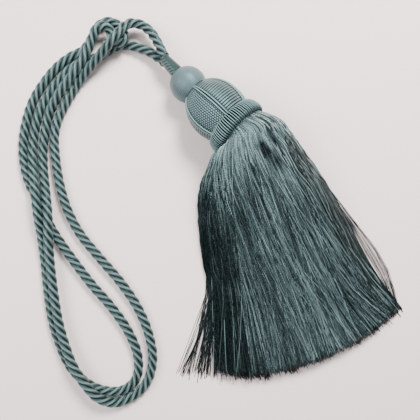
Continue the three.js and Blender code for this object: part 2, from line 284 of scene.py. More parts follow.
@dataclass(frozen=True)
class RayonFinish:
    """Satin rayon: a dark and a light dye mixed by the piece's tone attribute, broken by a
    fine mottle. On most pieces the tone also holds painted shade and painted highlights.
    Filament lines can be raised across its round attribute, and painted glints of a twisted
    thread can follow its run attribute, which counts the turns."""

    name: str
    dark: Rgb
    light: Rgb
    roughness: float = 0.3
    specular: float = 0.4
    gloss: Rgb = (0.5, 0.85, 0.85)
    line_height: float = 0.0
    painted_glint: float = 0.0
    mottle_scale: float = 900.0
    mottle: float = 0.25

    def material(self) -> bpy.types.Material:
        """Builds the node material.

        Returns:
            The material, ready for a slot.
        """
        made = bpy.data.materials.new(self.name)
        made.use_nodes = True
        nodes, links = made.node_tree.nodes, made.node_tree.links
        shader = nodes["Principled BSDF"]
        shader.inputs["Roughness"].default_value = self.roughness
        shader.inputs["Specular IOR Level"].default_value = self.specular
        shader.inputs["Specular Tint"].default_value = (*self.gloss, 1.0)
        tone = nodes.new("ShaderNodeAttribute")
        tone.attribute_name = "tone"
        place = nodes.new("ShaderNodeTexCoord")
        noise = nodes.new("ShaderNodeTexNoise")
        noise.inputs["Scale"].default_value = self.mottle_scale
        noise.inputs["Detail"].default_value = 2.0
        links.new(place.outputs["Object"], noise.inputs["Vector"])
        noise_out = noise.outputs["Fac"]
        spread = self._math(made, "MULTIPLY_ADD", noise_out, self.mottle, -0.5 * self.mottle)
        total = self._math(made, "ADD", tone.outputs["Fac"], spread)
        total.node.use_clamp = True
        # The mix gives the base colour: the dye, with whatever painted shade, highlight or glint
        # the tone holds.
        dye = nodes.new("ShaderNodeMix")
        dye.data_type = "RGBA"
        dye.inputs[6].default_value = (*self.dark, 1.0)
        dye.inputs[7].default_value = (*self.light, 1.0)
        links.new(dye.outputs[2], shader.inputs["Base Color"])
        # Painted glints of a twisted thread: the tone swings by a sine of the run.
        if self.painted_glint > 0:
            total = self._math(made, "MULTIPLY", total, self._wave(made, "run", 0.5 * self.painted_glint))
        links.new(total, dye.inputs[0])
        if self.line_height > 0:
            bump = nodes.new("ShaderNodeBump")
            bump.inputs["Strength"].default_value = 1.0
            bump.inputs["Distance"].default_value = self.line_height * MM
            links.new(self._wave(made, "round", 1.0), bump.inputs["Height"])
            links.new(bump.outputs["Normal"], shader.inputs["Normal"])
        return made

    def _wave(
        self, made: bpy.types.Material, attribute: str, swing: float
    ) -> bpy.types.NodeSocket:
        """Adds a sine of the turns that an attribute counts, swinging up to one.

        Args:
            made: The material.
            attribute: The attribute's name.
            swing: Half the height between the wave's trough and its crest.

        Returns:
            The socket that carries the wave.
        """
        count = made.node_tree.nodes.new("ShaderNodeAttribute")
        count.attribute_name = attribute
        angle = self._math(made, "MULTIPLY", count.outputs["Fac"], 2 * math.pi)
        wave = self._math(made, "SINE", angle)
        return self._math(made, "MULTIPLY_ADD", wave, swing, 1.0 - swing)

    def _math(
        self, made: bpy.types.Material, operation: str, *terms: bpy.types.NodeSocket | float
    ) -> bpy.types.NodeSocket:
        """Adds a step of arithmetic to the material.

        Args:
            made: The material.
            operation: The step's name in Blender.
            terms: Its inputs in order, each a socket or a plain number.

        Returns:
            The socket that carries the result.
        """
        step = made.node_tree.nodes.new("ShaderNodeMath")
        step.operation = operation
        for entry, term in zip(step.inputs, terms):
            if isinstance(term, (int, float)):
                entry.default_value = term
            else:
                made.node_tree.links.new(term, entry)
        return step.outputs[0]


CORD_FINISH = RayonFinish(
    "cord_satin",
    (0.001, 0.002, 0.002),
    (0.14, 0.212, 0.212),
    roughness=0.25,
    specular=0.5,
    line_height=0.08,
    mottle=0.12,
)
NECK_FINISH = RayonFinish(
    "neck_thread", (0.003, 0.006, 0.006), (0.11, 0.17, 0.16), line_height=0.03
)
SMALL_BALL_FINISH = RayonFinish(
    "small_ball_thread", (0.022, 0.038, 0.042), (0.145, 0.205, 0.22), roughness=0.4, mottle=0.45
)
LARGE_BALL_FINISH = RayonFinish(
    "large_ball_thread", (0.001, 0.002, 0.002), (0.19, 0.29, 0.3), specular=0.25, mottle=0.3
)
RIB_FINISH = RayonFinish("rib_thread", (0.01, 0.02, 0.02), (0.2, 0.31, 0.32))
# Near-black: painted shade in the gaps between the ruff's loops.
RUFF_SHADE_FINISH = RayonFinish(
    "ruff_base_painted_shade", (0.001, 0.002, 0.002), (0.006, 0.01, 0.01), roughness=0.7, specular=0.1
)
RUFF_FINISH = RayonFinish("ruff_gimp", (0.003, 0.006, 0.006), (0.17, 0.265, 0.267))
# Near-black: painted shade deep inside the fringe, seen through gaps between the threads.
CORE_SHADE_FINISH = RayonFinish(
    "fringe_core", (0.005, 0.011, 0.011), (0.01, 0.02, 0.02), roughness=0.8, specular=0.05
)
FRINGE_FINISH = RayonFinish(
    "fringe_thread",
    (0.003, 0.006, 0.0065),
    (0.3, 0.43, 0.44),
    specular=0.22,
    gloss=(0.6, 0.84, 0.84),
    painted_glint=0.5,
    mottle_scale=1100.0,
    mottle=0.4,
)


def dress(piece: bpy.types.Object, finish: RayonFinish, slot: Slot, *nodes: str) -> None:
    """Gives a piece its material and its body, and hides the solids that it stands for.

    Args:
        piece: The finished object.
        finish: Its finish.
        slot: The record's slot; not used.
        nodes: The solids that it replaces.
    """
    found = bpy.data.materials.get(finish.name)
    piece.data.materials.append(found or finish.material())
    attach(piece, BODY)
    if nodes:
        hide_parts(*nodes)
    LOG.info("%s: %d faces", piece.name, len(piece.data.polygons))


# ---- The studio ---------------------------------------------------------------------------


@dataclass(frozen=True)
class Lamp:
    """A soft square light: its middle, its side and its power in watts."""

    name: str
    place: Point
    side: float
    power: float
    colour: Rgb

    def shine(self, target: Point) -> None:
        """Makes the light, turned to face a target.

        Args:
            target: The point that it faces, in millimetres.
        """
        data = bpy.data.lights.new(self.name, "AREA")
        data.size = self.side * MM
        data.energy = self.power
        data.color = self.colour
        lamp = bpy.data.objects.new(self.name, data)
        from_place = [(a - b) * MM for a, b in zip(target, self.place)]
        lamp.location = [a * MM for a in self.place]
        lamp.rotation_euler = Vector(from_place).to_track_quat("-Z", "Y").to_euler()
        bpy.context.scene.collection.objects.link(lamp)


@dataclass
class Studio:
    """A pale floor, an overhead camera and soft light."""

    camera_foot: Pair = (-50.8, 6.1)
    camera_height: float = 380.0
    half_view: float = 21.7
    sensor: float = 36.0
    floor_colour: Rgb = (0.9, 0.77, 0.74)
    floor_size: float = 3000.0
    floor_drop: float = 0.05
    floor_roughness: float = 0.85
    floor_specular: float = 0.1
    sky: Rgb = (0.95, 0.97, 1.0)
    sky_strength: float = 0.5
    lit: Point = (-40.0, 0.0, 10.0)
    lamps: tuple[Lamp, ...] = (
        Lamp("key", (170.0, 530.0, 640.0), 270.0, 17.8, (1.0, 0.99, 0.98)),
        Lamp("fill", (-430.0, 60.0, 520.0), 400.0, 4.2, (0.97, 0.99, 1.0)),
    )

    def camera(self) -> None:
        """Makes the camera, looking straight down with +Y up the picture."""
        data = bpy.data.cameras.new("camera")
        data.sensor_width = self.sensor
        data.lens = self.sensor / (2 * math.tan(math.radians(self.half_view)))
        data.clip_start = 0.01
        view = bpy.data.objects.new("camera", data)
        view.location = [a * MM for a in (*self.camera_foot, self.camera_height)]
        bpy.context.scene.collection.objects.link(view)
        bpy.context.scene.camera = view

    def build(self) -> None:
        """Makes the floor, the sky and the lights."""
        half = self.floor_size / 2
        corners = np.array(
            [[-half, -half, 0], [half, -half, 0], [half, half, 0], [-half, half, 0]], float
        )
        corners[:, 2] = -self.floor_drop
        floor = make_piece("floor", corners, np.array([[0, 1, 2, 3]]), np.zeros((0, 3)), {})
        plain = bpy.data.materials.new("floor_plain")
        plain.use_nodes = True
        shader = plain.node_tree.nodes["Principled BSDF"]
        shader.inputs["Base Color"].default_value = (*self.floor_colour, 1.0)
        shader.inputs["Roughness"].default_value = self.floor_roughness
        shader.inputs["Specular IOR Level"].default_value = self.floor_specular
        floor.data.materials.append(plain)
        world = bpy.data.worlds.new("sky")
        world.use_nodes = True
        sky = world.node_tree.nodes["Background"]
        sky.inputs["Color"].default_value = (*self.sky, 1.0)
        sky.inputs["Strength"].default_value = self.sky_strength
        bpy.context.scene.world = world
        for lamp in self.lamps:
            lamp.shine(self.lit)


# ---- The cord -----------------------------------------------------------------------------

CORD_ROUTE = [
    (-82.1, 112.2, 15.1), (-84.2, 116.1, 13.9), (-87.5, 123.1, 11.6), (-92.5, 131.1, 9.6),
    (-99.3, 136.4, 8.5), (-105.8, 136.8, 11), (-110.8, 132.8, 14.8), (-114.6, 127.1, 17.5),
    (-119.9, 121.1, 17.3), (-127.3, 113.8, 13), (-137.3, 104.6, 7.5), (-146.3, 94.4, 3.6),
    (-158.8, 71.6, 3.6), (-161.8, 58.6, 3.6), (-161.1, 44.6, 3.6), (-158.3, 26.1, 3.6),
    (-152.8, 7.1, 3.6), (-143.8, -10.4, 3.6), (-130.1, -27.4, 3.6), (-114.2, -45.9, 3.6),
    (-101.8, -64.5, 3.6), (-94.1, -83.7, 3.6), (-91.6, -100.9, 3.6), (-95.4, -115.9, 3.6),
    (-104.8, -125.9, 3.6), (-117.8, -130.6, 5.3), (-129.3, -125.9, 9.6), (-138.6, -115.3, 11),
    (-146.6, -103.4, 10.7), (-153, -88.1, 9.1), (-158, -69.9, 8.6), (-163.3, -31.9, 8.8),
    (-164.1, -14.9, 10.3), (-164.6, 3.4, 10.3), (-167.5, 20.3, 6.1), (-169.9, 38.9, 3.6),
    (-169.5, 54.6, 3.6), (-165.9, 72.8, 4), (-158.7, 85.9, 7.3), (-149.1, 98.7, 9.6),
    (-138.2, 114.2, 10.9), (-133.2, 125.7, 11.6), (-129.6, 132.7, 12.2), (-123.8, 134.9, 10.6),
    (-121.2, 132.2, 9.2), (-119.4, 125.4, 10.4), (-115.9, 123.2, 11.1), (-112.5, 124.2, 11),
    (-110.8, 127.9, 9.4), (-114.4, 135.3, 4.6), (-118.4, 138.9, 4.5), (-125.1, 139.8, 4.5),
    (-131.8, 135.4, 3.8), (-135.3, 128.1, 3.6), (-141, 120.1, 3.6), (-150.5, 115.1, 3.6),
    (-160.1, 107.6, 3.6), (-168.8, 97.1, 3.6), (-176.8, 84.1, 3.6), (-181.8, 69.1, 3.6),
    (-184, 54.6, 3.6), (-183.6, 41.6, 3.6), (-179.9, 25.6, 3.6), (-171.2, 8.7, 3.6),
    (-163.1, -8.4, 3.6), (-136.3, -45.7, 3.6), (-121.4, -62.8, 3.6), (-108.9, -80.9, 3.6),
    (-102.1, -98.9, 3.6), (-103.5, -114.2, 3.6), (-113.2, -122.5, 3.6), (-126.3, -122.7, 3.6),
    (-139.2, -116.9, 3.6), (-149.9, -106.2, 3.6), (-157.8, -89.9, 3.6), (-163.7, -69.4, 3.6),
    (-168.6, -29.5, 3.6), (-170.3, -11.1, 6.2), (-171.5, 3.1, 10.4), (-173.5, 20.1, 10.4),
    (-176.4, 37.6, 6.1), (-176.9, 54.5, 3.7), (-174, 71.1, 3.6), (-167.3, 86.1, 3.6),
    (-158.3, 98.5, 3.6), (-148.3, 108.1, 3.6), (-136.2, 112.8, 3.6), (-126.2, 117.6, 3.6),
    (-118.4, 122.7, 3.6), (-109.8, 123.7, 3.6), (-100.4, 121.1, 4.4), (-91.8, 117, 6),
    (-82.3, 109.6, 8.4),
]


@dataclass
class TwistedCord:
    """Four strands laid up with a left-handed twist along the route, both ends in the neck."""

    name: str = "twisted_cord"
    diameter: float = 7.0
    lay: float = 25.0
    strands: int = 4
    strand_centre: float = 0.58
    lowest: float = 3.5
    step: float = 1.2
    sides: int = 40
    filaments: int = 44

    def centreline(self) -> np.ndarray:
        """Follows the route evenly, lifted where it would dip into the surface."""
        line = evenly(centripetal(np.array(CORD_ROUTE, float), 8000), self.step)
        line[:, 2] = np.maximum(line[:, 2], self.lowest)
        return line

    def build(self) -> bpy.types.Object:
        """Skins the strands. With the angle measured from a strand's middle, the outline's
        reach is the strand centre times its cosine, plus the root of the strand's squared
        radius less the squared sine part.

        Returns:
            The cord's object.
        """
        line = self.centreline()
        radius = self.diameter / 2
        centre = self.strand_centre * radius
        strand = radius - centre
        angle = np.linspace(0, 2 * math.pi, self.sides, endpoint=False)
        part = 2 * math.pi / self.strands
        local = (angle + part / 2) % part - part / 2
        reach = centre * np.cos(local) + np.sqrt(strand**2 - (centre * np.sin(local)) ** 2)
        forward = unit(np.gradient(line, axis=0))
        side = unit(np.cross((0.0, 0.0, 1.0), forward))
        up = np.cross(forward, side)
        run = np.arange(len(line)) * self.step
        turned = angle[None, :] - 2 * math.pi * run[:, None] / self.lay
        rings = line[:, None] + reach[None, :, None] * (
            np.cos(turned)[..., None] * side[:, None] + np.sin(turned)[..., None] * up[:, None]
        )
        depth = np.broadcast_to((reach - reach.min()) / np.ptp(reach), turned.shape)
        filament = np.broadcast_to(angle * self.filaments, turned.shape)
        # Painted shade darkens the grooves between strands, and a painted highlight lights a
        # narrow band on each strand's crest.
        body = 0.36 * smoothstep(0.3, 0.7, depth) + 0.64 * smoothstep(0.86, 1.0, depth)
        values = {
            "tone": (body * (0.85 + 0.15 * np.cos(filament)))[None],
            "round": (filament / (2 * math.pi))[None],
        }
        cord = tubes(self.name, rings[None], values)
        dress(cord, CORD_FINISH, Slot.CORD, "cord")
        return cord


# ---- The head -----------------------------------------------------------------------------


@dataclass(frozen=True)
class HeadAxis:
    """The line through the neck, the balls and the waist. Stations along it are measured from
    a point level with the middle of the large ball, and angles run from its left side over
    its top."""

    origin: Point = (-47.4, 75.5, 19.0)
    heading: float = -43.4
    rise: float = 10.5

    def basis(self) -> np.ndarray:
        """Returns the unit vectors forward, to the left side and up, as rows."""
        heading, rise = math.radians(self.heading), math.radians(self.rise)
        flat = math.cos(rise)
        forward = np.array([math.cos(heading) * flat, math.sin(heading) * flat, math.sin(rise)])
        side = np.array([-math.sin(heading), math.cos(heading), 0.0])
        return np.stack([forward, side, np.cross(forward, side)])

    def place(self, along: np.ndarray, aside: np.ndarray, up: np.ndarray) -> np.ndarray:
        """Turns distances along, aside and up into points.

        Args:
            along: Distances along the axis.
            aside: Distances to the left side.
            up: Distances up from the axis.

        Returns:
            The points, of the shape that the three broadcast to, plus an axis of three.
        """
        forward, side, upward = self.basis()
        along, aside, up = np.broadcast_arrays(along, aside, up)
        return (
            np.array(self.origin)
            + along[..., None] * forward
            + aside[..., None] * side
            + up[..., None] * upward
        )

    def turned(self, along: np.ndarray, angle: np.ndarray, radius: np.ndarray) -> np.ndarray:
        """Places points round the axis: the aside part is the radius times the angle's cosine
        and the up part is the radius times its sine. Nothing goes under the surface."""
        points = self.place(along, radius * np.cos(angle), radius * np.sin(angle))
        points[..., 2] = np.maximum(points[..., 2], 0.0)
        return points

    def outward(self, angle: np.ndarray) -> np.ndarray:
        """Gives the unit vector away from the axis at each angle."""
        _, side, upward = self.basis()
        return np.cos(angle)[..., None] * side + np.sin(angle)[..., None] * upward


AXIS = HeadAxis()


@dataclass
class NeckWhipping:
    """The sleeve that binds both ends of the cord: slanting strands on one side of its front
    and fine dark whipping on the other."""

    top_along: float = -50.9
    bottom_along: float = -37.6
    top_offset: Pair = (1.8, 1.3)
    bottom_offset: Pair = (1.0, 0.0)
    top_half: Pair = (3.9, 7.6)
    bottom_half: Pair = (4.9, 5.6)
    strands: float = 6.5
    strand_slant: float = 5.0
    strand_relief: float = 0.35
    rounds: float = 26.0
    round_relief: float = 0.08
    closing_depth: float = 1.2

    def build(self) -> None:
        """Skins an oval sleeve that widens downwards. On its right side it is raised by a
        slanting rounded wave, the strands, and elsewhere by a fine wave, the whipping."""
        share = np.linspace(0, 1, 120)[:, None]
        angle = np.linspace(0, 2 * math.pi, 96, endpoint=False)[None, :]

        def mixed(top: float, bottom: float) -> np.ndarray:
            """Mixes a size from the sleeve's top to its bottom."""
            return top + (bottom - top) * share

        on_right = smoothstep(0.1, -0.25, np.cos(angle))
        turns = share * self.strands + self.strand_slant * angle / math.pi
        strand = np.abs(np.sin(math.pi * turns))
        whipping = 0.5 + 0.5 * np.sin(2 * math.pi * share * self.rounds)
        closing = smoothstep(0.0, 0.06, share)
        lift = on_right * self.strand_relief * (strand - 1.0) - self.closing_depth * (1 - closing)
        lift = lift + (1 - on_right) * self.round_relief * whipping
        wide = mixed(self.top_half[0], self.bottom_half[0]) + lift
        tall = mixed(self.top_half[1], self.bottom_half[1]) + lift
        points = AXIS.place(
            mixed(self.top_along, self.bottom_along) + 0 * angle,
            mixed(self.top_offset[0], self.bottom_offset[0]) + wide * np.cos(angle),
            mixed(self.top_offset[1], self.bottom_offset[1]) + tall * np.sin(angle),
        )
        # Painted shade: the tone is darkest in the grooves between strands and between the
        # whipping's rounds, lightest on their crests.
        tone = on_right * (0.15 + 0.65 * strand**2) + (1 - on_right) * (0.1 + 0.16 * whipping)
        values = {"tone": tone[None], "round": (share * self.rounds + 0 * angle)[None]}
        sleeve = tubes("neck_sleeve", points[None], values)
        dress(sleeve, NECK_FINISH, Slot.WHIPPING, "neck_whipping")


@dataclass
class SmallBall:
    """The small ball, wound with fine thread side by side over a warp."""

    centre: float = -26.0
    radius: float = 12.6
    rows: int = 21
    warps: int = 60
    relief: float = 0.09
    warp_relief: float = 0.05
    start: float = 16.0
    end: float = 128.0

    def build(self) -> None:
        """Skins a sphere whose radius rises by a rounded wave for each row of thread, crossed
        by a fainter wave for the warp under it."""
        polar = np.radians(np.linspace(self.start, self.end, self.rows * 8))[:, None]
        angle = np.linspace(0, 2 * math.pi, self.warps * 3, endpoint=False)[None, :]
        row = (polar - polar[0]) / np.ptp(polar) * self.rows
        wave = np.abs(np.sin(math.pi * row))
        warp = np.cos(self.warps * angle)
        radius = self.radius - self.relief * (1 - wave) + self.warp_relief * warp
        along = self.centre - radius * np.cos(polar)
        points = AXIS.turned(along, angle, radius * np.sin(polar))
        # Painted shade: the winding darkens towards the neck, and in the hollows between rows and
        # over the warp's troughs.
        shade = smoothstep(math.radians(self.start), math.radians(45.0), polar)
        values = {"tone": ((0.2 + 0.4 * wave + 0.2 * warp) * (0.6 + 0.4 * shade))[None]}
        ball = tubes("small_ball_winding", points[None], values)
        dress(ball, SMALL_BALL_FINISH, Slot.SMALL_BALL, "small_ball")


@dataclass
class LargeBall:
    """The large ball: panels of basket knots and of plain rows by turns, between double
    ribs."""

    centre: float = 2.7
    radius: float = 20.1
    half_length: float = 23.7
    top: float = -19.6
    bottom: float = 14.6
    rows: int = 19
    row_relief: float = 0.4
    knot_rows: int = 20
    knots: int = 84
    knot_relief: float = 0.45
    ribs: int = 6
    first_rib: float = 90.0
    rib_half: float = 2.9
    rib_radius: float = 0.46

    def surface(self, along: np.ndarray) -> np.ndarray:
        """Gives the ball's plain radius at each station: an ellipse's height there."""
        return self.radius * np.sqrt(1 - ((along - self.centre) / self.half_length) ** 2)

    def build(self) -> None:
        """Skins the ball. Plain panels rise by a rounded wave for each row, split by a fine
        groove. Basket panels are columns of knots: a rounded wave round the ball times one
        along it that starts half a knot later in every other column. Then adds the ribs."""
        along = np.linspace(self.top, self.bottom, self.rows * 9)[:, None]
        angle = np.linspace(0, 2 * math.pi, self.knots * 6, endpoint=False)[None, :]
        share = (along - self.top) / (self.bottom - self.top)
        row = np.abs(np.sin(math.pi * share * self.rows)) ** 0.7
        split = 1.0 - 0.35 * np.exp(-(((share * self.rows) % 1.0 - 0.5) / 0.1) ** 2)
        column = self.knots * angle / (2 * math.pi)
        later = 0.5 * (np.floor(column) % 2)
        along_knot = np.abs(np.sin(math.pi * (share * self.knot_rows + later)))
        knot = np.abs(np.sin(math.pi * column)) ** 0.6 * (0.3 + 0.7 * along_knot**0.7)
        part = (angle - math.radians(self.first_rib)) / (2 * math.pi / self.ribs)
        basket = (np.floor(part) % 2 == 0).astype(float)
        lift = basket * self.knot_relief * knot + (1 - basket) * self.row_relief * row * split
        points = AXIS.turned(along, angle, self.surface(along) - self.row_relief + lift)
        # Painted shade: only the knots' tops and the plain rows' crests keep a light tone, so the
        # hollows between them go near-black.
        basket_tone = 0.9 * smoothstep(0.42, 0.95, knot)
        row_tone = (0.75 * row**5 * split) * np.ones_like(angle)
        groove = np.abs((part + 0.5) % 1.0 - 0.5) * 360.0 / self.ribs
        beside = smoothstep(self.rib_half + 1.5, self.rib_half + 6.0, groove)
        tone = (basket * basket_tone + (1 - basket) * row_tone) * beside
        cover = tubes("large_ball_stitching", points[None], {"tone": tone[None]})
        dress(cover, LARGE_BALL_FINISH, Slot.LARGE_BALL, "large_ball")
        self._ribs()

    def _ribs(self) -> None:
        """Lays two thin cords along each rib's meridian, just proud of the stitching."""
        middles = self.first_rib + np.arange(self.ribs) * 360.0 / self.ribs
        angles = np.radians((middles[:, None] + [-self.rib_half, self.rib_half]).ravel())
        along = np.linspace(self.top + 0.5, self.bottom, 48)
        radius = self.surface(along) + 0.5 * self.rib_radius
        lines = AXIS.turned(along[None, :], angles[:, None], radius[None, :])
        lines[..., 2] = np.maximum(lines[..., 2], self.rib_radius)
        outward = np.broadcast_to(AXIS.outward(angles)[:, None], lines.shape)
        rings = tube_rings(lines, self.rib_radius, 8, outward)
        values = {"tone": np.full(rings.shape[:3], 0.8)}
        dress(tubes("large_ball_ribs", rings, values), RIB_FINISH, Slot.LARGE_BALL)


@dataclass
class GimpRuff:
    """The ruff: bright loops of gimp side by side. Each loop goes up one side of a gap painted
    dark as shade, round its head and down the other, and finer threads fill its lower part."""

    loops: int = 40
    leg_radius: float = 0.28
    leg_place: float = 0.27
    head: float = 0.1
    fine_radius: float = 0.22
    fine_places: tuple[float, ...] = (-0.5, 0.0)
    fine_start: float = 0.45
    fine_end: float = 0.95
    base_depth: float = 1.5
    fine_rise: float = 0.8
    leg_points: int = 16
    base_grid: tuple[int, int] = (40, 240)
    profile: tuple[Pair, ...] = (
        (13.4, 17.6), (14.0, 19.4), (15.8, 20.9), (18.6, 21.8),
        (21.6, 22.0), (24.0, 21.4), (25.5, 19.8),
    )

    def laid(self, share: np.ndarray, angle: np.ndarray, sunk: float) -> np.ndarray:
        """Places points on the ruff, by its profile's station and radius at each share.

        Args:
            share: Places from the top (0) to the bottom (1), shape (points,).
            angle: Round the axis, in radians, shape (tubes, points).
            sunk: How far under the ruff's back, in millimetres.

        Returns:
            Shape (tubes, points, 3).
        """
        curve = catmull_rom(np.array(self.profile), share * (len(self.profile) - 1))
        points = AXIS.turned(curve[None, :, 0], angle, curve[None, :, 1] - sunk)
        points[..., 2] = np.maximum(points[..., 2], self.leg_radius)
        return points

    def build(self) -> None:
        """Skins the base, painted near-black as the shade in the gaps between the loops, then
        lays the loops and the fine threads over it.
        """
        rings, sides = self.base_grid
        share = np.linspace(0, 1, rings)
        angle = np.linspace(0, 2 * math.pi, sides, endpoint=False)
        around = np.broadcast_to(angle[:, None], (sides, rings))
        base_points = np.moveaxis(self.laid(share, around, self.base_depth), 0, 1)
        # The base is painted near-black as the shade between the loops.
        values = {"tone": np.full((1, rings, sides), 0.3)}
        base = tubes("ruff_base", base_points[None], values)
        dress(base, RUFF_SHADE_FINISH, Slot.RUFF, "ruff")
        pitch = 2 * math.pi / self.loops
        middles = pitch * np.arange(self.loops)[:, None]
        turn = np.linspace(0, math.pi, 9)[1:-1]
        legs = np.linspace(1.0, self.head, self.leg_points)
        side = np.ones(self.leg_points)
        share = np.concatenate([legs, self.head * (1 - np.sin(turn)), legs[::-1]])
        aside = np.concatenate([-side, -np.cos(turn), side]) * self.leg_place
        angles = middles + pitch * aside[None, :]
        lines = self.laid(share, angles, self.leg_radius)
        # Painted shade: the loops go dark towards the ruff's underside.
        tone = 0.15 + 0.8 * smoothstep(1.0, 0.5, share)
        self._strands("ruff_loops", lines, angles, self.leg_radius, tone)
        share = np.linspace(self.fine_start, self.fine_end, self.leg_points)
        places = (middles + pitch * np.array(self.fine_places)[None, :]).reshape(-1, 1)
        angles = np.broadcast_to(places, (places.size, self.leg_points))
        sunk = self.base_depth - self.fine_rise * smoothstep(self.fine_start, 0.75, share)
        curve = self.laid(share, angles, 0.0)
        inward = AXIS.outward(angles) * (sunk + self.fine_radius)[None, :, None]
        # Painted shade: the fine threads are dark where they come out under the loops' heads and
        # again towards the ruff's underside.
        tone = 0.12 * smoothstep(self.fine_start, 0.7, share) * smoothstep(0.95, 0.8, share)
        self._strands("ruff_fine_threads", curve - inward, angles, self.fine_radius, tone)

    def _strands(
        self, name: str, lines: np.ndarray, angles: np.ndarray, radius: float, tone: np.ndarray
    ) -> None:
        """Skins thin cords along lines on the ruff.

        Args:
            name: The piece's name.
            lines: Shape (tubes, points, 3).
            angles: Each point's angle round the axis.
            radius: The cords' radius.
            tone: The tone at each point along a cord, painted shade included.
        """
        lines[..., 2] = np.maximum(lines[..., 2], radius)
        rings = tube_rings(lines, radius, 8, AXIS.outward(angles))
        values = {"tone": np.broadcast_to(tone[None, :, None], rings.shape[:3])}
        dress(tubes(name, rings, values), RUFF_FINISH, Slot.RUFF)


# ---- The fringe ---------------------------------------------------------------------------


@dataclass(frozen=True)
class FringeLayer:
    """One layer of the skirt: its threads, the locks that they gather in, where it lies in
    the fringe's depth, its tone range, dye and painted shade together, and how far its locks
    and threads wander across."""

    name: str
    threads: int
    locks: int
    depth: Pair
    tone: Pair
    wander: float


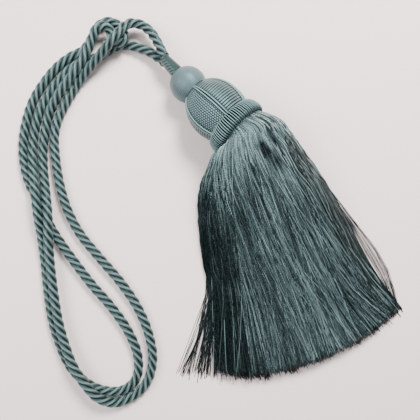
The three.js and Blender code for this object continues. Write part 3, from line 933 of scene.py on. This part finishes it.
@dataclass
class FringeSkirt:
    """The skirt of cut rayon threads, from the waist over the shoulder to the hem on the
    surface. A thread's place is its share across, from the left edge to the right, and its
    share of the fringe's depth, from the surface below to the top. The rows of eight give,
    station by station, how far locks sway, how wide they are, and how far the crossing, the
    flared and the edge threads have gone on their way."""

    left: tuple[Pair, ...] = (
        (-48.6, 44.0), (-52.2, 35.2), (-57.3, 23.1),
        (-58.6, 1.1), (-52.1, -44.9), (-51.1, -113.7),
    )
    right: tuple[Pair, ...] = (
        (-4.0, 67.5), (2.6, 60.4), (16.2, 47.1),
        (37.2, 15.6), (63.7, -33.9), (85.6, -64.9),
    )
    high: tuple[float, ...] = (42.5, 41.5, 37.5, 29.0, 18.0, 9.5)
    low: tuple[float, ...] = (3.0, 1.2)
    bow: tuple[float, ...] = (0.0, 0.0, 2.0, 4.0, 9.0, 14.0)
    waist: tuple[Pair, ...] = ((21.0, 16.0), (25.6, 18.6))
    # The layers deeper in the fringe take darker tones: painted shade.
    layers: tuple[FringeLayer, ...] = (
        FringeLayer("fringe_face", 880, 220, (0.985, 1.035), (0.06, 4.6), 2.4),
        FringeLayer("fringe_second", 1500, 130, (0.88, 0.965), (0.15, 0.9), 1.6),
        FringeLayer("fringe_under", 1150, 60, (0.05, 0.88), (0.0, 0.25), 1.2),
    )
    thread_radius: float = 0.31
    loose_radius: float = 0.24
    start: float = 0.3
    tip: float = 0.08
    points: int = 20
    dense_from: float = 0.13
    gap_middles: tuple[Pair, ...] = ((-15.2, 43.7), (-8.0, 40.4), (-24.9, 35.3))
    gap_reaches: tuple[Pair, ...] = ((9.0, 3.2), (7.0, 2.8), (6.0, 2.2))
    gap_heading: float = -59.0
    gap_dip: float = 3.0
    crossing: int = 460
    flare: int = 170
    flyaways: int = 13
    core_sides: int = 96
    core_rings: int = 60
    sway: tuple[float, ...] = (0, 0, 0.004, 0.006, 0.01, 0.014, 0.018, 0.024)
    lock_width: tuple[float, ...] = (1, 1, 0.8, 0.7, 0.6, 0.55, 0.6, 0.75)
    crossed: tuple[float, ...] = (0, 0, 0, 0.02, 0.1, 0.3, 0.65, 1.0)
    flared: tuple[float, ...] = (0, 0, 0, 0, 0, 0, 0.12, 1.0)
    bulged: tuple[float, ...] = (0, 0, 0, 0, 0, 0.04, 0.115, 0.02)
    seed: int = 7

    def stations(self) -> int:
        """Counts the stations from the waist to the hem."""
        return len(self.waist) + len(self.high)

    def place(self, across: np.ndarray, depth: np.ndarray) -> np.ndarray:
        """Works out where threads pass each station. At the waist that is a disc's chord at
        the thread's share across. After it, it is the straight line between the edges, bowed
        out by the square of the way from the middle, under a rounded top.

        Args:
            across: Shape (stations, threads): shares from left (0) to right (1).
            depth: Shape (stations, threads): shares from below (0) to the top (1).

        Returns:
            Shape (stations, threads, 3).
        """
        rows = []
        for index, (along, radius) in enumerate(self.waist):
            spread = 2 * across[index] - 1
            rise = radius * np.sqrt(1 - np.clip(spread, -1, 1) ** 2)
            rows.append(AXIS.place(along, radius * spread, rise * (2 * depth[index] - 1)))
        for number, height in enumerate(self.high):
            index = number + len(self.waist)
            spread = 2 * across[index] - 1
            left, right = np.array(self.left[number]), np.array(self.right[number])
            line = right - left
            outward = np.array([line[1], -line[0]]) / np.linalg.norm(line)
            inside = np.clip(np.abs(spread), 0, 1)
            flat = left + across[index][:, None] * line
            flat = flat + (self.bow[number] * (1 - spread**2))[:, None] * outward
            crown = np.sqrt(1 - inside**2.6)
            if number < len(self.low):
                low = self.low[number]
                rise = low + (height - low) / 2 * (1 + crown * (2 * depth[index] - 1))
            else:
                rise = height * np.maximum(crown, 0.12) * depth[index]
            rows.append(np.concatenate([flat, rise[:, None]], axis=1))
        return np.stack(rows)

    def build(self) -> None:
        """Builds the dark core, the layers of locks and then the loose threads."""
        rng = np.random.default_rng(self.seed)
        self._core()
        for layer in self.layers:
            self._layer(layer, rng)
        self._crossing(rng)
        self._flare(rng)
        self._flyaways(rng)

    def _core(self) -> None:
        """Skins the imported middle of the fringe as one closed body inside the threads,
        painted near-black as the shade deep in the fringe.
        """
        sides, count = self.core_sides, self.core_rings
        angle = np.linspace(0, 2 * math.pi, sides, endpoint=False)
        across = 0.53 + 0.41 * np.cos(angle)
        depth = 0.46 + 0.36 * np.sin(angle)
        stations = self.stations()
        shape = (stations, sides)
        rows = self.place(np.broadcast_to(across, shape), np.broadcast_to(depth, shape))
        rings = catmull_rom(rows, np.linspace(0, stations - 1.07, count))
        rings[..., 2] = np.maximum(rings[..., 2], 0.2)
        core = tubes("fringe_core", rings[None], {"tone": np.full((1, count, sides), 0.4)})
        dress(core, CORE_SHADE_FINISH, Slot.FRINGE, "fringe_skirt")

    def _lines(self, across: np.ndarray, depth: np.ndarray) -> np.ndarray:
        """Carries threads smoothly through their places at the stations.

        Args:
            across: Shape (stations, threads).
            depth: Shape (stations, threads).

        Returns:
            Shape (threads, points, 3).
        """
        end = self.stations() - 1
        where = np.append(np.linspace(self.start, end - self.tip, self.points - 1), end)
        return np.moveaxis(catmull_rom(self.place(across, depth), where), 0, 1)

    def _parting(self, lines: np.ndarray) -> np.ndarray:
        """Gives how deep in a parting of the shoulder each point lies: a bell curve of its
        distance along and across the nearest parting.

        Args:
            lines: Shape (threads, points, 3).

        Returns:
            Shape (threads, points), from 0 outside to 1 in a parting's middle.
        """
        heading = math.radians(self.gap_heading)
        flow = np.array([math.cos(heading), math.sin(heading)])
        aside = np.array([-flow[1], flow[0]])
        bells = []
        for middle, (reach, width) in zip(self.gap_middles, self.gap_reaches):
            offset = lines[..., :2] - np.array(middle)
            bells.append(np.exp(-((offset @ flow / reach) ** 2) - (offset @ aside / width) ** 2))
        return smoothstep(0.15, 0.8, np.max(bells, axis=0))

    def _layer(self, layer: FringeLayer, rng: np.random.Generator) -> None:
        """Lays one layer: each lock has its own way across and depth, and its threads keep
        near it and wander a little.

        Args:
            layer: The layer.
            rng: The seeded source of unevenness.
        """
        stations = self.stations()
        lock = rng.integers(0, layer.locks, layer.threads)
        middle = (np.arange(layer.locks) + rng.uniform(0.1, 0.9, layer.locks)) / layer.locks
        sway = np.array(self.sway)[:, None] * layer.wander
        lock_way = np.cumsum(rng.normal(0, 1, (stations, layer.locks)) * sway, axis=0)
        width = np.array(self.lock_width)[:, None] / layer.locks
        inside = rng.normal(0, 0.6, layer.threads)[None, :] * width
        own_way = np.cumsum(rng.normal(0, 0.35, (stations, layer.threads)) * sway, axis=0)
        across = (middle + lock_way)[:, lock] + inside + own_way
        across[:2] = np.clip(across[:2], 0.005, 0.995)
        across[-1] = self.dense_from + (1 - self.dense_from) * across[-1]
        across[2:] = 0.5 + (across[2:] - 0.5) / np.maximum(1.0, np.abs(across[2:] - 0.5) * 1.98)
        # Each lock's brightness both raises it and lightens its tone: painted light on the higher
        # locks, painted shade on the lower ones.
        bright = rng.uniform(0, 1, layer.locks)
        low, high = layer.depth
        lock_depth = low + (high - low) * (0.6 * bright + 0.4 * rng.uniform(0, 1, layer.locks))
        depth = lock_depth[lock][None, :] + rng.normal(0, 0.012, (stations, layer.threads))
        lines = self._lines(across, np.clip(depth, 0.02, 1.05))
        lines[..., 2] -= self.gap_dip * self._parting(lines)
        back = 5.5 * lock_depth[lock] ** 3 + rng.normal(0, 1.1, layer.locks)[lock]
        self._cut(lines, back + rng.normal(0, 1.5, layer.threads))
        low, high = layer.tone
        own = rng.uniform(0, 1, layer.threads)
        tone = low + (high - low) * (0.55 + 0.45 * bright[lock]) * own**4
        sheen_phase = rng.uniform(0, 2 * math.pi, layer.locks)[lock]
        self._lay(layer.name, lines, tone, sheen_phase, self.thread_radius, rng)

    def _crossing(self, rng: np.random.Generator) -> None:
        """Lays loose bright threads that run across the others on the face."""
        stations, count = self.stations(), self.crossing
        first = rng.uniform(0.08, 0.72, count)
        last = first + rng.normal(0.18, 0.16, count)
        share = np.array(self.crossed)[:, None]
        across = first + (last - first) * share + rng.normal(0, 0.006, (stations, count))
        across = np.clip(across, 0.02, 0.985)
        depth = 1.03 + rng.normal(0, 0.012, (stations, count))
        lines = self._lines(across, depth)
        self._cut(lines, np.abs(rng.normal(2.5, 3.5, count)))
        tone = 0.3 + 3.0 * rng.uniform(0, 1, count) ** 2
        radius = self.loose_radius
        self._lay("fringe_crossing_threads", lines, tone, 9.0 * first, radius, rng, 0.75)

    def _flare(self, rng: np.random.Generator) -> None:
        """Lays the sparse threads that fan out at the hem's left end."""
        stations, count = self.stations(), self.flare
        start = rng.uniform(0.0, 0.1, count)
        end = self.dense_from + 0.05 - 0.33 * rng.uniform(0, 1, count) ** 1.4
        share = np.array(self.flared)[:, None]
        clump = rng.normal(0, 0.006, 40)[rng.integers(0, 40, count)]
        across = start + (end + clump - start) * share
        across = across + rng.normal(0, 0.004, (stations, count))
        across[:2] = np.clip(across[:2], 0.005, 0.995)
        depth = rng.uniform(0.2, 0.9, count) + rng.normal(0, 0.02, (stations, count))
        lines = self._lines(across, depth)
        self._cut(lines, rng.normal(2.0, 2.5, count))
        tone, radius = rng.uniform(0.6, 2.6, count), self.loose_radius
        self._lay("fringe_flared_threads", lines, tone, start, radius, rng)

    def _flyaways(self, rng: np.random.Generator) -> None:
        """Lays the few threads that stand away from the fringe's right edge."""
        stations, count = self.stations(), self.flyaways
        out = rng.uniform(0.3, 1, count)
        bulge = np.array(self.bulged)[:, None]
        across = 0.975 + bulge * out + rng.normal(0, 0.004, (stations, count))
        across[:2] = np.clip(across[:2], 0.005, 0.995)
        depth = rng.uniform(0.5, 1.0, count) + rng.normal(0, 0.02, (stations, count))
        lines = self._lines(across, depth)
        self._cut(lines, rng.normal(1.5, 2.5, count))
        tone, radius = rng.uniform(0.4, 1.4, count), self.loose_radius
        self._lay("fringe_edge_threads", lines, tone, out, radius, rng)

    def _cut(self, lines: np.ndarray, back: np.ndarray) -> None:
        """Moves each thread's cut end back along its last stretch by its own distance."""
        last = unit(lines[:, -1] - lines[:, -2])
        lines[:, -1] -= last * back[:, None]

    def _lay(
        self,
        name: str,
        lines: np.ndarray,
        tone: np.ndarray,
        sheen_phase: np.ndarray,
        radius: float,
        rng: np.random.Generator,
        hem_shading: float = 1.0,
    ) -> None:
        """Skins threads of three sides and gives them their tone: each thread's own tone times
        painted shade under the ruff, in the partings and deepening towards the hem, with the cut
        ends darker or lighter at random, and a painted sheen that comes and goes by a sine of the
        run.

        Args:
            name: The piece's name.
            lines: Shape (threads, points, 3).
            tone: Each thread's own tone, which for the layers already holds painted shade and
                light.
            sheen_phase: Where in its painted sheen each thread starts, in radians.
            radius: The threads' radius.
            rng: The seeded source of unevenness.
            hem_shading: How much of the painted shade towards the hem they take.
        """
        count = len(lines)
        ripple = rng.uniform(0, 2 * math.pi, (2, count))[:, :, None]
        gaps = np.linalg.norm(np.diff(lines, axis=1), axis=2)
        run = np.concatenate([np.zeros((count, 1)), np.cumsum(gaps, axis=1)], axis=1)
        wave = 0.35 * np.sin(run / 7.0 + ripple[0]) + 0.25 * np.sin(run / 3.7 + ripple[1])
        sideways = unit(np.cross(np.gradient(lines, axis=1), (0.0, 0.0, 1.0)))
        lines = lines + (wave * smoothstep(10.0, 40.0, run))[..., None] * sideways
        lines[..., 2] = np.maximum(lines[..., 2], radius)
        rings = tube_rings(lines, radius, 3, (0.0, 0.0, 1.0))
        share = np.linspace(0, 1, self.points)
        # Painted shade: dark just under the ruff, and deepening towards the hem, a little less
        # for threads that end further right.
        off_left = lines[:, -1:, 0] - self.left[-1][0]
        hem_shade = hem_shading * (0.97 - 0.1 * smoothstep(20.0, 80.0, off_left))
        painted_shade = smoothstep(0.05, 0.22, share) * (1.0 - hem_shade * smoothstep(0.36, 0.66, share))
        # Painted shade in the partings, of its own depth for each thread.
        sunk = np.minimum(rng.uniform(0.7, 1.4, (count, 1)), 0.97)
        painted_shade = painted_shade * (1.0 - sunk * self._parting(lines))
        painted_shade[:, -1] *= rng.uniform(0.2, 1.8, count)
        # Painted sheen that comes and goes along the run. The run in turns also drives the
        # finish's painted glints.
        painted_sheen = 0.72 + 0.28 * np.sin(run / 8.0 + sheen_phase[:, None] + 0.4 * ripple[0])
        turns = run / 1.7 + rng.uniform(0, 1, count)[:, None]
        values = {
            "tone": np.broadcast_to((tone[:, None] * painted_shade * painted_sheen)[..., None], rings.shape[:3]),
            "run": np.broadcast_to(turns[..., None], rings.shape[:3]),
        }
        dress(tubes(name, rings, values), FRINGE_FINISH, Slot.FRINGE)


def main() -> None:
    """Builds the camera and the cord first, then the head and the fringe."""
    studio = Studio()
    studio.camera()
    TwistedCord().build()
    studio.build()
    NeckWhipping().build()
    SmallBall().build()
    LargeBall().build()
    GimpRuff().build()
    FringeSkirt().build()


if __name__ == "__main__":
    main()
